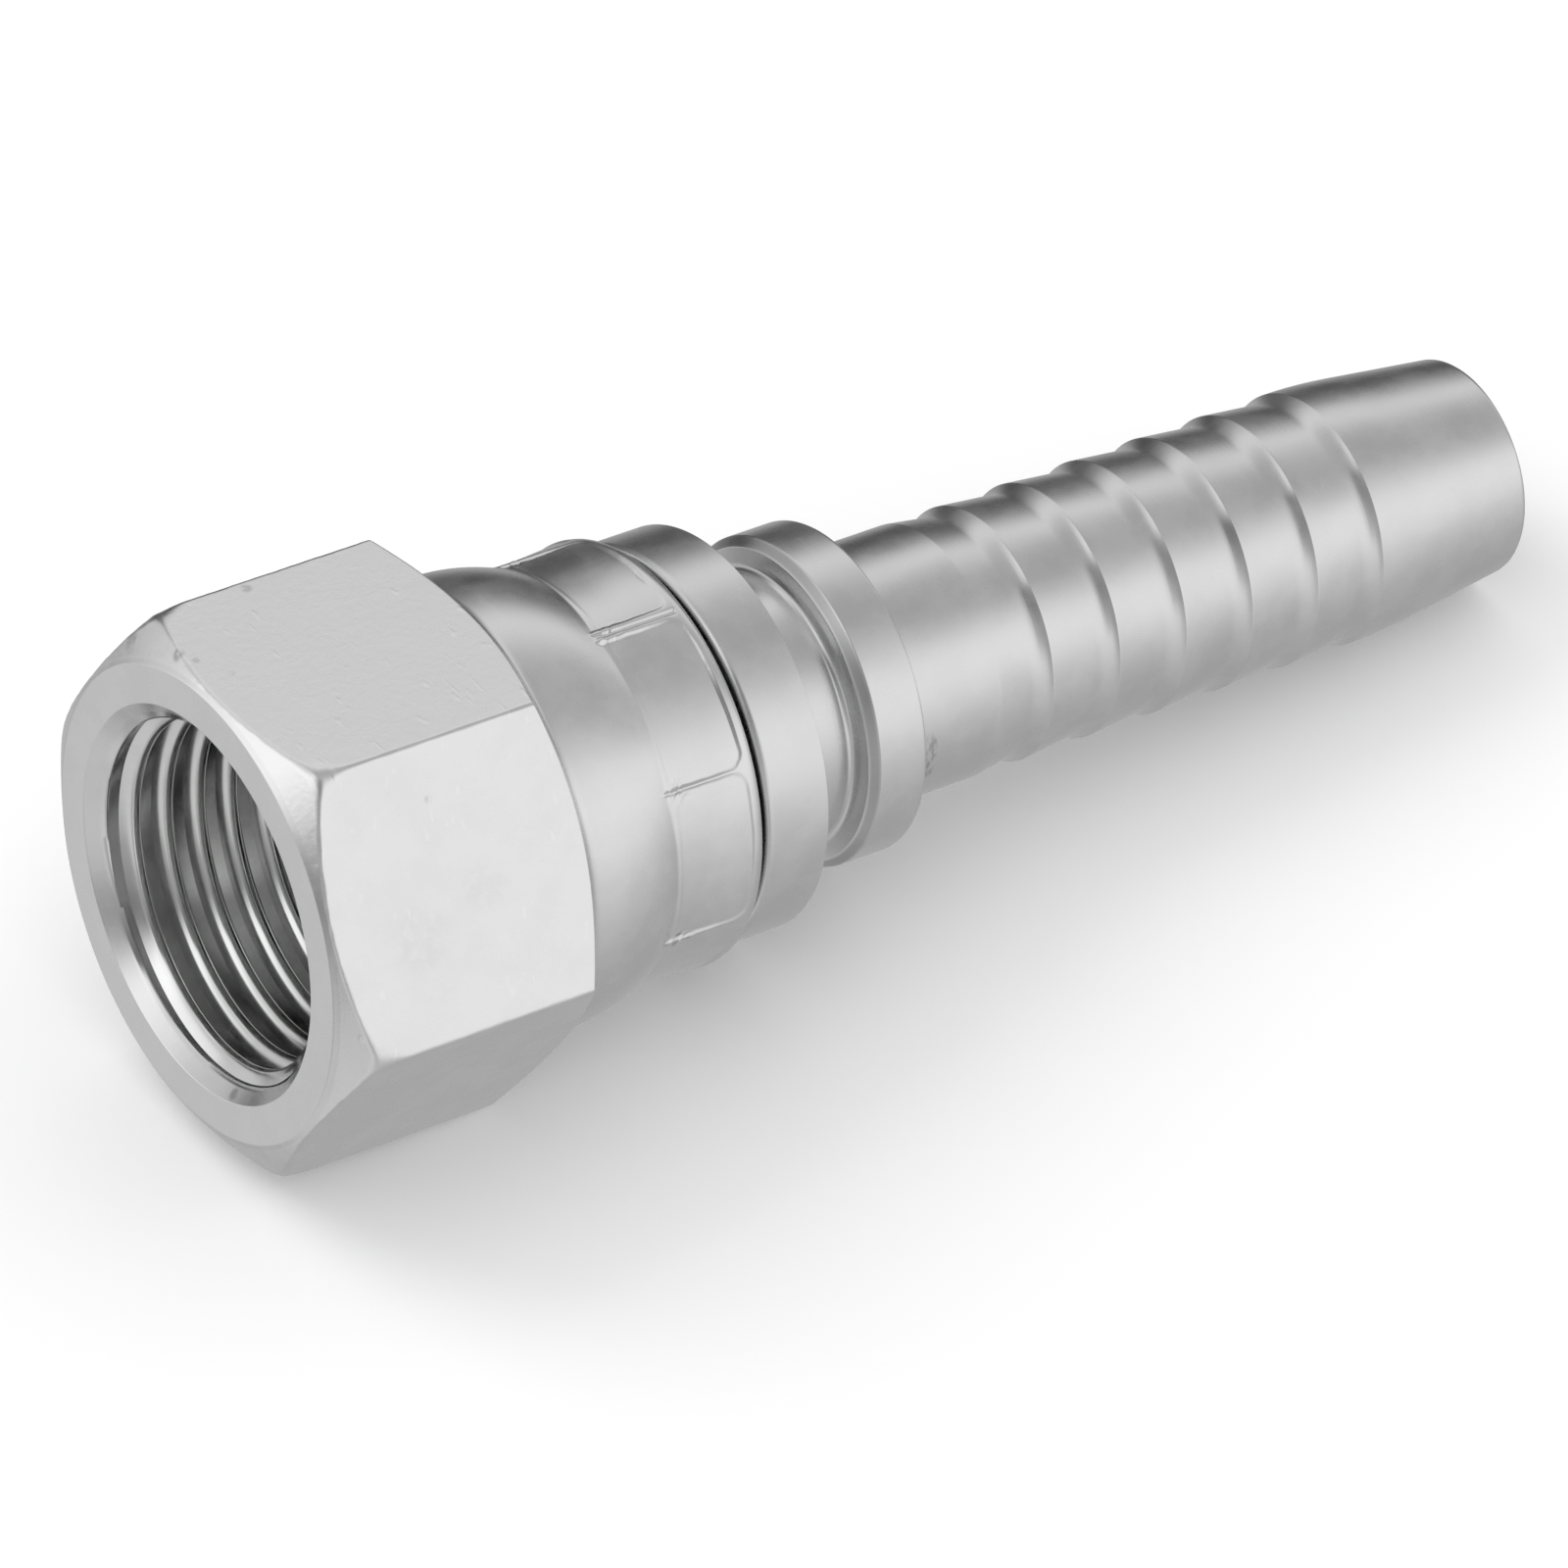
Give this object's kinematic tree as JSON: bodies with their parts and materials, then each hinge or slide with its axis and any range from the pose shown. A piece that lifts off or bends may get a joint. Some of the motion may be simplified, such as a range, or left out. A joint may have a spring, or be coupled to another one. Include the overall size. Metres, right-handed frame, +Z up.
{
  "type": "hydraulic hose tail",
  "caption": "Hydraulic hose tail: a free-spinning hexagon flare nut crimped on the head, a ferrule groove between collars, and a barbed spigot with a through bore.",
  "frame": {"origin": "on the axis, where the nut's thread starts behind its countersunk mouth", "axes": "+X along the axis from the nut's mouth to the spigot's tip, +Z up from the middle of one flat of the nut"},
  "size_m": [0.0579, 0.022, 0.019],
  "materials": {
    "tail_zinc": "bright zinc plate over turned steel, satin",
    "nut_zinc": "bright zinc plate over turned and drawn steel, satin, with small dings on the flats"
  },
  "bodies": {
    "tail": {"hose_tail": "tail_zinc"},
    "nut": {"swivel_nut": "nut_zinc"}
  },
  "joints": [
    {"name": "nut_spin", "type": "hinge", "parent": "tail", "child": "nut", "pos_m": [0.011, 0, 0], "axis": [1, 0, 0], "continuous": true}
  ]
}
